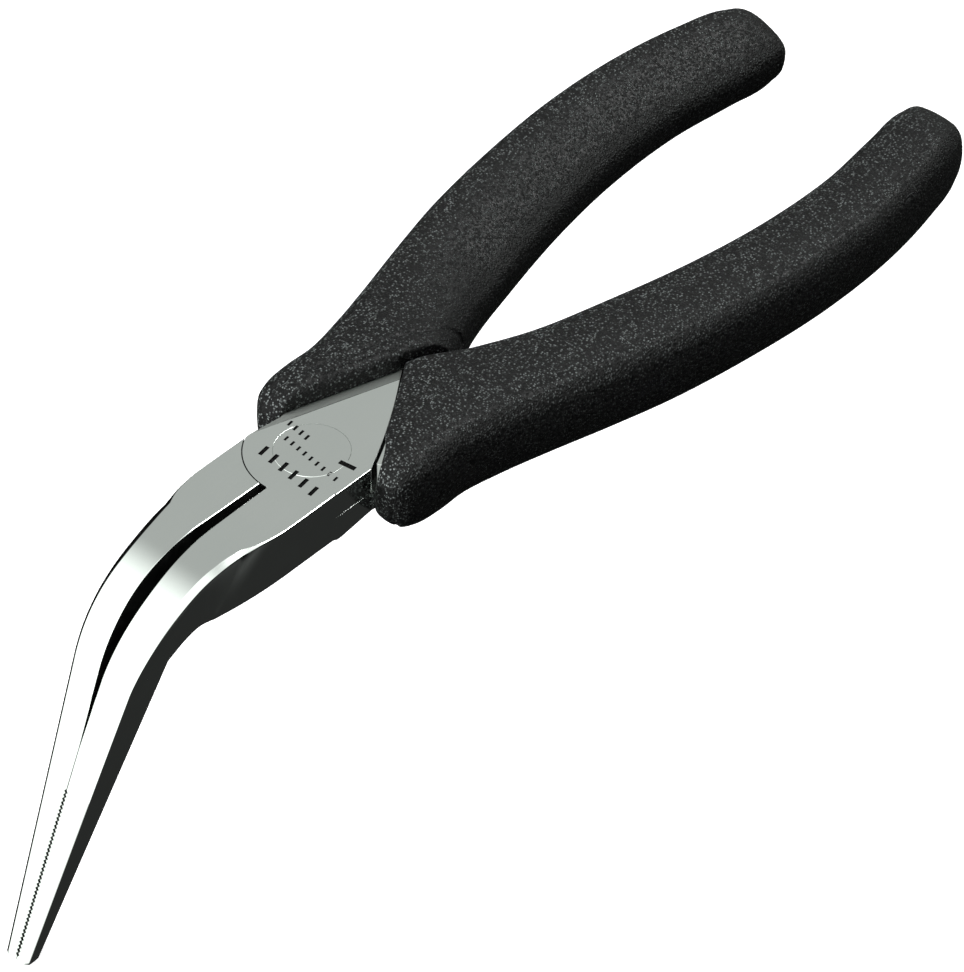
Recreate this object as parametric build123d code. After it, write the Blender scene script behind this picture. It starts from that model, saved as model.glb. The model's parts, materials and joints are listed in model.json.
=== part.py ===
"""Bent long-nose pliers: two forged levers on one flush rivet, with moulded grips.

Frame: the pivot axis is Z, with the origin on it in the plane of the head's back face.
+X runs from the pivot towards the jaws, +Z leaves the front face of the head, and +Y is
the side of the front lever's jaw. Sizes are in millimetres and angles in degrees.
The levers are shown closed. The front lever's jaw is on +Y and its handle on -Y; the back
lever crosses under it.
"""
import os
from math import cos, hypot, radians, sin

from build123d import *

# Head and lap joint
HEAD_THICKNESS = 9.6
HEAD_HALF_WIDTH = 9.7
SHOULDER_RADIUS = 10.9          # concave shoulder in a jaw that the other lever's plate turns in
SHOULDER_GAP = 0.15             # between that shoulder and the plate's round edge
LAP_GAP = 0.06                  # between the two half-thickness plates

# Pivot rivet: a shank with a large flush head at each end
RIVET_HEAD_RADIUS = 6.1
RIVET_SHANK_RADIUS = 4.0
RIVET_HEAD_DEPTH = 2.2
RIVET_RUNNING_GAP = 0.04        # radial and axial, between the rivet and the back lever

# Handle side of a half-thickness plate: a shallow arc from the head's side to the handle
PLATE_CORNER_X = -2.9
PLATE_ARC_MIDDLE = (-11.9, 4.9)
PLATE_TAIL = (-24.2, -3.5)
HANDLE_GAP = 0.45               # between that arc and the other lever's handle

# Jaw profile: the front face bends away on a large arc, the back face on a small one
JAW_ROOT_X = 11.2
FRONT_BEND_X = 23.3
FRONT_BEND_RADIUS = 26.2
FRONT_BEND_ANGLE = 65.5
FRONT_NOSE_LENGTH = 50.4
BACK_BEND_X = 30.53
BACK_BEND_RADIUS = 8.5
BACK_BEND_ANGLE = 60.2
BACK_NOSE_LENGTH = 54.44
JAW_INNER_CHAMFER = 0.25
JAW_FRONT_CHAMFER = 0.45
JAW_BACK_CHAMFER = 0.5

# Half width of the closed jaws and half width of the slit between them.
# Position 0 to 1 is the straight neck, 1 to 2 the bend and 2 to 3 the nose.
JAW_CONTACT_POSITION = 2.24
TIP_HALF_WIDTH = 2.5
JAW_MEETING_GAP = 0.05
JAW_STATIONS = (
    (0.00, 9.70, 0.70),
    (0.45, 9.65, 0.74),
    (0.75, 9.25, 0.80),
    (1.00, 8.60, 0.90),
    (1.25, 7.90, 1.10),
    (1.50, 7.55, 1.20),
    (1.75, 7.05, 0.90),
    (2.00, 6.30, 0.48),
)

# Serrations on the meeting faces, ending just short of the tip
TOOTH_PITCH = 0.70
TOOTH_DEPTH = 0.35
TOOTH_COUNT = 43
TOOTH_TIP_MARGIN = 0.6

# Handle: a full-thickness root beside the head, then a thinner tang inside the grip
ROOT_FRONT = (-5.0, -10.6)
ROOT_SETBACK = 2.0              # from that corner to where the head's side begins
ROOT_OUTER = (-16.0, -12.6)
ROOT_BACK = (-24.5, -13.6)
TANG_START = (-19.0, -8.2)
TANG_MIDDLE = ((-45.0, -15.2), (-75.0, -21.6))
TANG_END = (-118.0, -20.6)
TANG_HALF_WIDTH_START = 4.6
TANG_HALF_WIDTH_END = 3.0
TANG_THICKNESS = 5.0
TANG_STEPS = 8                   # pieces each side of the tang is drawn in
FACE_END_START = (-6.8, -6.1)   # the flat face ends on the line through these two points
FACE_END_STOP = (-19.3, -1.9)
FACE_SLOPE_ANGLE = 24.0

# Moulded grip, as cross-sections across X: place, outer side, inner side, thickness.
# The inner sides of the first six run into the room that is cut away for the other lever.
GRIP_CORNER_SHARE = 0.74        # of a section's smaller half size, as its corner radius
GRIP_POCKET_GAP = 0.12          # between the handle and the pocket it sits in
GRIP_GAP = 0.5                  # between a grip and the other lever
GRIP_STATIONS = (
    (-2.4, -14.0, -11.6, 5.6),
    (-3.5, -15.4, -9.6, 9.6),
    (-6.0, -16.6, -6.0, 13.0),
    (-10.0, -17.4, -3.0, 14.6),
    (-17.0, -17.4, 1.0, 15.0),
    (-24.0, -18.7, 4.0, 15.0),
    (-33.0, -21.0, -0.6, 15.0),
    (-43.0, -23.8, -5.2, 15.2),
    (-56.0, -27.1, -8.9, 15.2),
    (-72.0, -29.7, -12.6, 15.0),
    (-88.0, -31.1, -14.9, 14.8),
    (-104.0, -30.7, -15.3, 14.4),
    (-117.0, -28.7, -13.8, 13.8),
    (-125.5, -26.4, -13.0, 12.6),
    (-129.4, -24.0, -14.0, 8.8),
    (-130.8, -21.4, -16.7, 4.0),
)
CROTCH_X = -33.5                # where the two grips' inner sides meet behind the plates
LIP_START = (-4.8, -9.9)        # the grip's front lip crosses the handle root on this line
LIP_STOP = (-20.4, -4.7)
LIP_REACH = 6.0                 # how far the cut in front of that line runs past its ends

MID_Z = HEAD_THICKNESS / 2
PLATE_RADIUS = SHOULDER_RADIUS - SHOULDER_GAP
BASE_ALIGN = (Align.CENTER, Align.CENTER, Align.MIN)
LONG = 300.0                    # longer than anything it cuts


def profile_point(position, bend_x, bend_radius, bend_angle, nose_length, start_z):
    """Give the XZ point at a position from 0 to 3 along one face of a jaw."""
    if position <= 1:
        return JAW_ROOT_X + (bend_x - JAW_ROOT_X) * position, start_z
    turn = radians(bend_angle) * min(position - 1, 1)
    x = bend_x + bend_radius * sin(turn)
    z = start_z - bend_radius * (1 - cos(turn))
    along = nose_length * max(position - 2, 0)
    return x + along * cos(turn), z - along * sin(turn)


def front_point(position):
    """Give the XZ point on the jaw's front face."""
    return profile_point(position, FRONT_BEND_X, FRONT_BEND_RADIUS, FRONT_BEND_ANGLE,
                         FRONT_NOSE_LENGTH, HEAD_THICKNESS)


def back_point(position):
    """Give the XZ point on the jaw's back face."""
    return profile_point(position, BACK_BEND_X, BACK_BEND_RADIUS, BACK_BEND_ANGLE,
                         BACK_NOSE_LENGTH, 0.0)


def jaw_section(position, half_width, half_slit):
    """Make the face that the jaw's cross-section fills at one position."""
    front_x, front_z = front_point(position)
    back_x, back_z = back_point(position)
    depth = hypot(back_x - front_x, back_z - front_z)
    down = Vector((back_x - front_x) / depth, 0, (back_z - front_z) / depth)
    plane = Plane(origin=(front_x, 0, front_z), x_dir=(0, 1, 0), z_dir=Vector(0, 1, 0).cross(down))
    outline = Polyline(
        (half_slit + JAW_INNER_CHAMFER, 0),
        (half_width - JAW_FRONT_CHAMFER, 0),
        (half_width, JAW_FRONT_CHAMFER),
        (half_width, depth - JAW_BACK_CHAMFER),
        (half_width - JAW_BACK_CHAMFER, depth),
        (half_slit + JAW_INNER_CHAMFER, depth),
        (half_slit, depth - JAW_INNER_CHAMFER),
        (half_slit, JAW_INNER_CHAMFER),
        close=True,
    )
    return plane * make_face(outline)


def nose_half_width(position):
    """Give the half width of the closed jaws on the nose, which tapers evenly."""
    bend_end_width = JAW_STATIONS[-1][1]
    return bend_end_width + (TIP_HALF_WIDTH - bend_end_width) * (position - 2)


def nose_plane():
    """Place a plane on the jaws' meeting face at the tip, with X back along the nose."""
    front_x, front_z = front_point(3)
    back_x, back_z = back_point(3)
    lean = radians((FRONT_BEND_ANGLE + BACK_BEND_ANGLE) / 2)
    towards_head = Vector(-cos(lean), 0, sin(lean))
    return Plane(
        origin=((front_x + back_x) / 2, 0, (front_z + back_z) / 2),
        x_dir=towards_head,
        z_dir=towards_head.cross(Vector(0, 1, 0)),
    )


def tooth_cutter():
    """Make the comb that leaves a row of teeth on the +Y jaw's meeting face."""
    points = [(TOOTH_TIP_MARGIN, 0)]
    for tooth in range(TOOTH_COUNT):
        start = TOOTH_TIP_MARGIN + tooth * TOOTH_PITCH
        points.append((start + TOOTH_PITCH / 2, JAW_MEETING_GAP + TOOTH_DEPTH))
        points.append((start + TOOTH_PITCH, JAW_MEETING_GAP))
    points.append((points[-1][0], 0))
    comb = nose_plane() * make_face(Polyline(*points, close=True))
    return extrude(comb, HEAD_THICKNESS, both=True)


def jaw():
    """Make the +Y jaw from the head to the tip."""
    sections = [jaw_section(*station) for station in JAW_STATIONS]
    neck = [face for face, station in zip(sections, JAW_STATIONS) if station[0] <= 1]
    bend = [face for face, station in zip(sections, JAW_STATIONS) if station[0] >= 1]
    contact = jaw_section(JAW_CONTACT_POSITION, nose_half_width(JAW_CONTACT_POSITION),
                          JAW_MEETING_GAP)
    tip = jaw_section(3, TIP_HALF_WIDTH, JAW_MEETING_GAP)
    solid = loft(neck) + loft(bend) + loft([bend[-1], contact], ruled=True)
    solid += loft([contact, tip], ruled=True)
    return solid - tooth_cutter()


def plate_outline():
    """Make the plan of the front lever's half-thickness plate, without its jaw."""
    corner = (PLATE_CORNER_X, HEAD_HALF_WIDTH)
    edge = ThreePointArc(corner, PLATE_ARC_MIDDLE, PLATE_TAIL)
    rest = Polyline(PLATE_TAIL, ROOT_BACK, ROOT_OUTER, ROOT_FRONT,
                    (ROOT_FRONT[0] + ROOT_SETBACK, -HEAD_HALF_WIDTH), (0, -HEAD_HALF_WIDTH),
                    (0, HEAD_HALF_WIDTH), corner)
    disc = Circle(PLATE_RADIUS) & Rectangle(LONG, 2 * HEAD_HALF_WIDTH)
    front_half = disc & Rectangle(LONG, LONG, align=(Align.MIN, Align.CENTER))
    return front_half + make_face([edge, rest])


def slab(sketch, low, high):
    """Extrude a plan sketch from one height to another."""
    return extrude(Pos(0, 0, low) * sketch, high - low)


def tang_outline(extra=0.0):
    """Make the plan of the tang, wider all round by an extra amount."""
    route = Spline(TANG_START, *TANG_MIDDLE, TANG_END)
    left = []
    right = []
    for index in range(TANG_STEPS + 1):
        share = index / TANG_STEPS
        half = TANG_HALF_WIDTH_START + (TANG_HALF_WIDTH_END - TANG_HALF_WIDTH_START) * share + extra
        point = route @ share
        heading = route % share
        left.append((point.X - heading.Y * half, point.Y + heading.X * half))
        right.append((point.X + heading.Y * half, point.Y - heading.X * half))
    sides = [Spline(*left), Line(left[-1], right[-1]), Spline(*right), Line(right[0], left[0])]
    return make_face(sides)


def root_outline():
    """Make the plan of the handle's full-thickness root beside the head."""
    return make_face(Polyline(ROOT_FRONT, ROOT_OUTER, ROOT_BACK, PLATE_TAIL, (0, 0), close=True))


def face_slope_cutter():
    """Make the wedge above the slope where the flat face runs down to the tang."""
    start = Vector(*FACE_END_START, HEAD_THICKNESS)
    along = (Vector(*FACE_END_STOP, HEAD_THICKNESS) - start).normalized()
    outward = Vector(-along.Y, along.X, 0)
    tilt = radians(FACE_SLOPE_ANGLE)
    normal = outward * sin(tilt) + Vector(0, 0, 1) * cos(tilt)
    downhill = outward * cos(tilt) - Vector(0, 0, 1) * sin(tilt)
    plane = Plane(origin=start + downhill * (LONG / 2), x_dir=downhill, z_dir=normal)
    wedge = extrude(plane * Rectangle(LONG, LONG), HEAD_THICKNESS)
    return wedge & slab(Rectangle(LONG, LONG), MID_Z + TANG_THICKNESS / 2, LONG)


def jaw_root_outline():
    """Make the plan of the block that joins the front lever's head to its jaw."""
    slit = JAW_STATIONS[0][2]
    block = Rectangle(JAW_ROOT_X, HEAD_HALF_WIDTH - slit, align=(Align.MIN, Align.MIN))
    return Pos(0, slit) * block


def lever_body():
    """Make the front lever's head, root and tang, without its jaw."""
    lap = MID_Z + LAP_GAP / 2
    other_plate = offset(mirror(plate_outline(), about=Plane.XZ), HANDLE_GAP)
    body = slab(plate_outline() + jaw_root_outline(), lap, HEAD_THICKNESS)
    body += slab(jaw_root_outline() - Circle(SHOULDER_RADIUS), 0, lap)
    body += slab(root_outline() - other_plate, 0, lap)
    body += slab(tang_outline(), MID_Z - TANG_THICKNESS / 2, MID_Z + TANG_THICKNESS / 2)
    return body - face_slope_cutter()


def turned_over(solid):
    """Turn a solid half a turn about the X direction, in the middle of the head."""
    return Pos(0, 0, HEAD_THICKNESS) * Rot(180, 0, 0) * solid


def stepped_pin(gap=0.0):
    """Make the rivet's shank and back head, larger all round by a gap."""
    shank = Cylinder(RIVET_SHANK_RADIUS + gap, HEAD_THICKNESS, align=BASE_ALIGN)
    back_head = Cylinder(RIVET_HEAD_RADIUS + gap, RIVET_HEAD_DEPTH + gap, align=BASE_ALIGN)
    return shank + back_head


def rivet():
    """Make the pivot rivet, flush with both faces of the head."""
    front_head = Cylinder(RIVET_HEAD_RADIUS, RIVET_HEAD_DEPTH, align=BASE_ALIGN)
    return stepped_pin() + Pos(0, 0, HEAD_THICKNESS - RIVET_HEAD_DEPTH) * front_head


def far_side_outline(corner_y):
    """Make the plan of the other lever's side of the parting line at one height.

    The line follows a plate's edge from its corner to its tail and runs back to the crotch.
    The corner is at +Y in the front half, and at -Y in the back half, where the far side
    takes in the whole head.
    """
    flip = 1 if corner_y > 0 else -1
    corner = (PLATE_CORNER_X, corner_y)
    middle = (PLATE_ARC_MIDDLE[0], PLATE_ARC_MIDDLE[1] * flip)
    tail = (PLATE_TAIL[0], PLATE_TAIL[1] * flip)
    edge = ThreePointArc(corner, middle, tail)
    rest = Polyline(tail, (CROTCH_X, 0), (CROTCH_X, LONG), (LONG, LONG), (LONG, corner_y), corner)
    return offset(make_face([edge, rest]), GRIP_GAP)


def lip_cutter():
    """Make the block that clears the face of the head in front of the grip's lip."""
    start = Vector(*LIP_START)
    along = (Vector(*LIP_STOP) - start).normalized()
    tail = Vector(*LIP_STOP) + along * LIP_REACH
    points = [start, tail, (tail.X, HEAD_HALF_WIDTH), (HEAD_HALF_WIDTH, HEAD_HALF_WIDTH),
              (HEAD_HALF_WIDTH, LIP_START[1])]
    return slab(make_face(Polyline(*points, close=True)), MID_Z, LONG)


def grip_section(x, outer_y, inner_y, thickness):
    """Make the rounded cross-section of the front lever's grip at one place."""
    width = inner_y - outer_y
    radius = min(width, thickness) / 2 * GRIP_CORNER_SHARE
    plane = Plane(origin=(x, (inner_y + outer_y) / 2, MID_Z), x_dir=(0, 1, 0), z_dir=(1, 0, 0))
    return plane * RectangleRounded(width, thickness, radius)


def grip():
    """Make the front lever's grip, with a pocket for its handle."""
    solid = loft([grip_section(*station) for station in GRIP_STATIONS])
    solid -= slab(far_side_outline(HEAD_HALF_WIDTH), MID_Z, LONG)
    turning_room = Circle(SHOULDER_RADIUS + GRIP_GAP)
    solid -= slab(far_side_outline(-HEAD_HALF_WIDTH) + turning_room, -LONG, MID_Z)
    solid -= lip_cutter()
    solid -= handle_room()
    return solid


def handle_room():
    """Make the space that the front lever's handle takes inside its grip."""
    gap = GRIP_POCKET_GAP
    room = slab(offset(plate_outline(), gap), MID_Z - gap, HEAD_THICKNESS + gap)
    room -= Pos(0, 0, gap) * face_slope_cutter()
    room += slab(offset(root_outline(), gap), -gap, MID_Z)
    room += slab(tang_outline(gap), MID_Z - TANG_THICKNESS / 2 - gap,
                 MID_Z + TANG_THICKNESS / 2 + gap)
    return room


def build():
    """Build every piece and write each one to its own file."""
    body = lever_body()
    front_jaw = jaw()
    pieces = {
        "lever_front": body + front_jaw - rivet(),
        "lever_back": turned_over(body) + mirror(front_jaw, about=Plane.XZ)
        - stepped_pin(RIVET_RUNNING_GAP),
        "pivot_rivet": rivet(),
        "grip_front_lever": grip(),
    }
    pieces["grip_back_lever"] = turned_over(pieces["grip_front_lever"])
    os.makedirs("parts", exist_ok=True)
    for name, solid in pieces.items():
        solid.label = name
        export_step(solid, f"parts/{name}.step")


build()
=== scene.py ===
"""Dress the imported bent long-nose pliers: chromed levers, a flush rivet and pebbled grips.

Sizes in the classes are in millimetres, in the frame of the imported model: the pivot axis is
Z with its origin at the back face of the head, +X runs towards the jaws and +Y is the side of
the front lever's jaw. Meshes are written in metres.
"""
import sys

import json
import logging
import math
from dataclasses import dataclass, field
from enum import Enum, IntEnum
from typing import Iterable, Sequence

import bmesh
import bpy
import numpy as np
from mathutils import Matrix, Vector

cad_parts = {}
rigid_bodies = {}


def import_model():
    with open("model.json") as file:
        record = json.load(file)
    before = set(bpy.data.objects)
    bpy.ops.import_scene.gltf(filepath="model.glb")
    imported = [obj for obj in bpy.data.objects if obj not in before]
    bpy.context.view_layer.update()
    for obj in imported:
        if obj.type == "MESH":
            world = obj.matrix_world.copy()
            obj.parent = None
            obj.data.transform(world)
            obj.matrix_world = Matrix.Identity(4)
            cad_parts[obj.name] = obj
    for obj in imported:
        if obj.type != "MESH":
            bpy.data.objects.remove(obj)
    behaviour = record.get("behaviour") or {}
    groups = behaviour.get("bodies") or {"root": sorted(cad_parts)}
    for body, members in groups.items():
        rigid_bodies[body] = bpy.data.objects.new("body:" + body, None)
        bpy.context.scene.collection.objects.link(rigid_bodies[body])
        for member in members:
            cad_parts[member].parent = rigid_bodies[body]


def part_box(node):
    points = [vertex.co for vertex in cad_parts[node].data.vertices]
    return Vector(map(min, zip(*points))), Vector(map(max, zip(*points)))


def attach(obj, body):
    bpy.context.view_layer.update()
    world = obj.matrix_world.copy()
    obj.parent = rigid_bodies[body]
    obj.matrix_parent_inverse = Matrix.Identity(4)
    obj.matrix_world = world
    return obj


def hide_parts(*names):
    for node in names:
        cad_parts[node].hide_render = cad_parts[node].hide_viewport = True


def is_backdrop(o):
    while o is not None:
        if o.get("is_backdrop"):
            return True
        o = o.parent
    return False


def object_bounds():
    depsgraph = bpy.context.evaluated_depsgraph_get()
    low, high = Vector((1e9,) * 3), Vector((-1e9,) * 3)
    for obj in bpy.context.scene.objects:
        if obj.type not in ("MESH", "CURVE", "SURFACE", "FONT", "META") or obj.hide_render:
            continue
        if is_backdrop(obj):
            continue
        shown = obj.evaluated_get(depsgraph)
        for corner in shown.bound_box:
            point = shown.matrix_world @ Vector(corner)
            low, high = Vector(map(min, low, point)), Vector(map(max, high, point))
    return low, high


LOG = logging.getLogger("pliers")
MM = 0.001
MITRE_LIMIT = 0.3
ROUND_STEPS = 192
Point2 = tuple[float, float]
Point3 = tuple[float, float, float]


class Side(Enum):
    """Which of the two crossing levers a piece belongs to."""

    FRONT = "front"
    BACK = "back"


class Zone(IntEnum):
    """The parts of a steel piece that have their own material, by material index; index 1 is dark steel
    painted as shade.
    """

    STEEL = 0
    # painted shade: dark steel on the slit's walls and on the handle's walls in the working gap
    GROUND = 1
    MARK = 2
    SLOPE = 3


class BooleanKind(Enum):
    """How two solids are combined."""

    JOIN = "UNION"
    CUT = "DIFFERENCE"


def smooth_curve(knots: Sequence[float], values: Sequence[float], at: np.ndarray) -> np.ndarray:
    """Follow a smooth curve through given values.

    Args:
        knots: Increasing places of the values.
        values: The value at each knot.
        at: The places to read.

    Returns:
        The curve's value at each place, held constant outside the knots.
    """
    x = np.asarray(knots, float)
    y = np.asarray(values, float)
    slope = np.diff(y) / np.diff(x)
    tangent = np.concatenate(([slope[0]], (slope[1:] + slope[:-1]) / 2, [slope[-1]]))
    place = np.clip(at, x[0], x[-1])
    i = np.clip(np.searchsorted(x, place) - 1, 0, len(x) - 2)
    width = x[i + 1] - x[i]
    t = (place - x[i]) / width
    return (
        (2 * t**3 - 3 * t**2 + 1) * y[i]
        + (t**3 - 2 * t**2 + t) * width * tangent[i]
        + (-2 * t**3 + 3 * t**2) * y[i + 1]
        + (t**3 - t**2) * width * tangent[i + 1]
    )


def arc_points(start: Point2, middle: Point2, end: Point2, count: int = 24) -> list[Point2]:
    """Sample the circular arc through three plan points.

    Args:
        start: First point of the arc.
        middle: A point the arc passes through.
        end: Last point of the arc.
        count: Number of steps.

    Returns:
        The points from start to end, both included.
    """
    ax, ay = start
    bx, by = middle
    cx, cy = end
    d = 2 * (ax * (by - cy) + bx * (cy - ay) + cx * (ay - by))
    ux = ((ax**2 + ay**2) * (by - cy) + (bx**2 + by**2) * (cy - ay) + (cx**2 + cy**2) * (ay - by)) / d
    uy = ((ax**2 + ay**2) * (cx - bx) + (bx**2 + by**2) * (ax - cx) + (cx**2 + cy**2) * (bx - ax)) / d
    radius = math.hypot(ax - ux, ay - uy)
    first = math.atan2(ay - uy, ax - ux)
    turn = (math.atan2(cy - uy, cx - ux) - first + math.pi) % (2 * math.pi) - math.pi
    return [
        (ux + radius * math.cos(first + turn * i / count), uy + radius * math.sin(first + turn * i / count))
        for i in range(count + 1)
    ]


def flipped(points: Iterable[Point2]) -> list[Point2]:
    """Give the plan points on the other side of the X axis."""
    return [(x, -y) for x, y in points]


def turned_over(thickness: float) -> Matrix:
    """Give the half turn about the tool's length that swaps the two levers."""
    return Matrix.Translation((0, 0, thickness)) @ Matrix.Rotation(math.pi, 4, "X")


def grown(points: Sequence[Point2], by: float) -> list[Point2]:
    """Move every corner of a plan outline outward.

    Args:
        points: Corners of the outline, in order.
        by: Distance to move the sides.

    Returns:
        The corners of the larger outline.
    """
    area = sum(a[0] * b[1] - b[0] * a[1] for a, b in zip(points, [*points[1:], points[0]]))
    turn = math.copysign(1.0, area)
    moved = []
    for i, point in enumerate(points):
        here = Vector(point)
        before = (here - Vector(points[i - 1])).normalized()
        after = (Vector(points[(i + 1) % len(points)]) - here).normalized()
        first = Vector((before.y, -before.x)) * turn
        second = Vector((after.y, -after.x)) * turn
        moved.append(tuple(here + (first + second) * by / max(1 + first.dot(second), MITRE_LIMIT)))
    return moved


class Solid:
    """A closed mesh that other closed meshes can be joined to or cut from."""

    def __init__(self, name: str, mesh: bpy.types.Mesh) -> None:
        """Hold a mesh in a new object."""
        self.object = bpy.data.objects.new(name, mesh)
        bpy.context.scene.collection.objects.link(self.object)

    @classmethod
    def from_rings(cls, name: str, rings: Sequence[Sequence[Point3]]) -> "Solid":
        """Skin a row of closed cross-sections and cap both ends.

        Args:
            name: Name of the object.
            rings: Cross-sections with equal numbers of points, in millimetres.

        Returns:
            The closed solid.
        """
        bm = bmesh.new()
        rows = [[bm.verts.new(Vector(p) * MM) for p in ring] for ring in rings]
        count = len(rows[0])
        for low, high in zip(rows, rows[1:]):
            for i in range(count):
                j = (i + 1) % count
                bm.faces.new((low[i], low[j], high[j], high[i]))
        bm.faces.new(rows[0])
        bm.faces.new(list(reversed(rows[-1])))
        return cls(name, cls._mesh(name, bm))

    @classmethod
    def prism(cls, name: str, outline: Sequence[Point2], low: float, high: float) -> "Solid":
        """Extrude a plan outline along Z."""
        rings = [[(x, y, z) for x, y in outline] for z in (low, high)]
        return cls.from_rings(name, rings)

    @classmethod
    def cylinder(cls, name: str, radius: float, low: float, high: float) -> "Solid":
        """Make an upright cylinder on the pivot axis."""
        turns = [2 * math.pi * i / ROUND_STEPS for i in range(ROUND_STEPS)]
        return cls.prism(name, [(radius * math.cos(t), radius * math.sin(t)) for t in turns], low, high)

    @staticmethod
    def _mesh(name: str, bm: bmesh.types.BMesh) -> bpy.types.Mesh:
        """Turn an edit mesh into a mesh with outward faces and free it.

        Args:
            name: Name of the mesh.
            bm: The edit mesh.

        Returns:
            The finished mesh.
        """
        bmesh.ops.recalc_face_normals(bm, faces=bm.faces)
        mesh = bpy.data.meshes.new(name)
        bm.to_mesh(mesh)
        bm.free()
        return mesh

    def combine(self, other: "Solid", kind: BooleanKind) -> "Solid":
        """Join another solid to this one or cut it away; the other one is used up.

        Args:
            other: The other solid.
            kind: How the two are combined.

        Returns:
            This solid, changed.
        """
        modifier = self.object.modifiers.new("combine", "BOOLEAN")
        modifier.operation = kind.value
        modifier.solver = "MANIFOLD"
        modifier.object = other.object
        self.apply()
        used = other.object.data
        bpy.data.objects.remove(other.object)
        bpy.data.meshes.remove(used)
        return self

    def join(self, other: "Solid") -> "Solid":
        """Join another solid to this one."""
        return self.combine(other, BooleanKind.JOIN)

    def cut(self, other: "Solid") -> "Solid":
        """Cut another solid from this one."""
        return self.combine(other, BooleanKind.CUT)

    def apply(self) -> None:
        """Apply every modifier to the mesh."""
        bpy.context.view_layer.update()
        graph = bpy.context.evaluated_depsgraph_get()
        fresh = bpy.data.meshes.new_from_object(self.object.evaluated_get(graph), depsgraph=graph)
        stale = self.object.data
        self.object.modifiers.clear()
        self.object.data = fresh
        fresh.name = self.object.name
        bpy.data.meshes.remove(stale)

    def transform(self, matrix: Matrix) -> "Solid":
        """Move the mesh itself, keeping its faces outward.

        Args:
            matrix: The movement, with its shift in millimetres.

        Returns:
            This solid, changed.
        """
        scaled = matrix.copy()
        scaled.translation *= MM
        self.object.data.transform(scaled)
        if matrix.to_3x3().determinant() < 0:
            self.object.data.flip_normals()
        return self

@dataclass(frozen=True)
class JawProfile:
    """The jaw's front and back faces, its width and the slit, along its length.

    Position 0 to 1 is the straight neck, 1 to 2 the bend and 2 to 3 the nose.
    """

    head_thickness: float
    root_x: float = 11.2
    front_bend_x: float = 23.3
    front_bend_radius: float = 26.2
    front_bend_angle: float = 65.5
    front_nose_length: float = 50.4
    back_bend_x: float = 30.53
    back_bend_radius: float = 8.5
    back_bend_angle: float = 60.2
    back_nose_length: float = 54.44
    knots: tuple[float, ...] = (-1.0, 0.0, 0.45, 0.75, 1.0, 1.25, 1.5, 1.75, 2.0)
    widths: tuple[float, ...] = (9.70, 9.70, 9.65, 9.25, 8.60, 7.90, 7.55, 7.05, 6.30)
    slits: tuple[float, ...] = (0.70, 0.70, 0.74, 0.80, 0.90, 1.10, 1.20, 0.90, 0.48)
    contact: float = 2.24
    tip_width: float = 2.5
    meeting_gap: float = 0.05
    tooth_pitch: float = 0.70
    tooth_depth: float = 0.35
    tooth_count: int = 43
    tooth_margin: float = 0.6
    root_steps: int = 2
    neck_steps: int = 16
    bend_steps: int = 40
    run_up_steps: int = 4
    run_up_gap: float = 0.01

    def _face(self, at: float, bend_x: float, radius: float, angle: float, length: float,
              start_z: float) -> Point2:
        """Give the XZ point on one face of the jaw.

        Args:
            at: Position from -1 to 3.
            bend_x: Where the bend starts.
            radius: Radius of the bend.
            angle: Angle of the bend in degrees.
            length: Length of the nose.
            start_z: Height of the face at the head.

        Returns:
            The point's X and Z.
        """
        if at <= 0:
            return self.root_x * (1 + at), start_z
        if at <= 1:
            return self.root_x + (bend_x - self.root_x) * at, start_z
        turn = math.radians(angle) * min(at - 1, 1)
        along = length * max(at - 2, 0)
        x = bend_x + radius * math.sin(turn) + along * math.cos(turn)
        z = start_z - radius * (1 - math.cos(turn)) - along * math.sin(turn)
        return x, z

    def front(self, at: float) -> Point2:
        """Give the XZ point on the front face."""
        return self._face(at, self.front_bend_x, self.front_bend_radius, self.front_bend_angle,
                          self.front_nose_length, self.head_thickness)

    def back(self, at: float) -> Point2:
        """Give the XZ point on the back face."""
        return self._face(at, self.back_bend_x, self.back_bend_radius, self.back_bend_angle,
                          self.back_nose_length, 0.0)

    def half_width(self, at: float) -> float:
        """Give the half width of the closed jaws.

        Args:
            at: Position along the jaw.

        Returns:
            The distance from the middle to the jaw's outer side.
        """
        if at >= 2:
            return self.widths[-1] + (self.tip_width - self.widths[-1]) * (at - 2)
        return float(smooth_curve(self.knots, self.widths, np.array([at]))[0])

    def half_slit(self, at: float) -> float:
        """Give the half width of the slit between the jaws.

        Args:
            at: Position along the jaw.

        Returns:
            The distance from the middle to the jaw's meeting face.
        """
        if at >= 2:
            share = min((at - 2) / (self.contact - 2), 1)
            return self.slits[-1] + (self.meeting_gap - self.slits[-1]) * share
        return float(smooth_curve(self.knots, self.slits, np.array([at]))[0])

    def stations(self) -> list[tuple[float, float]]:
        """List the places to skin, close together in the bend and at every tooth.

        Returns:
            Pairs of a position and how deep a tooth's valley is there.
        """
        root = np.linspace(-1, 0, self.root_steps + 1)
        neck = np.linspace(0, 1, self.neck_steps + 1)[1:]
        bend = np.linspace(1, 2, self.bend_steps + 1)[1:]
        places = [(float(p), 0.0) for p in (*root, *neck, *bend)]
        teeth: list[tuple[float, float]] = []
        for half in range(2 * self.tooth_count + 1):
            back = self.tooth_margin + half * self.tooth_pitch / 2
            teeth.append((3 - back / self.front_nose_length, self.tooth_depth * (half % 2)))
        teeth.reverse()
        run_up = np.linspace(2, self.contact, self.run_up_steps + 1)[1:]
        places += [(float(p), 0.0) for p in run_up if p < teeth[0][0] - self.run_up_gap]
        return places + teeth + [(3.0, 0.0)]


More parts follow.
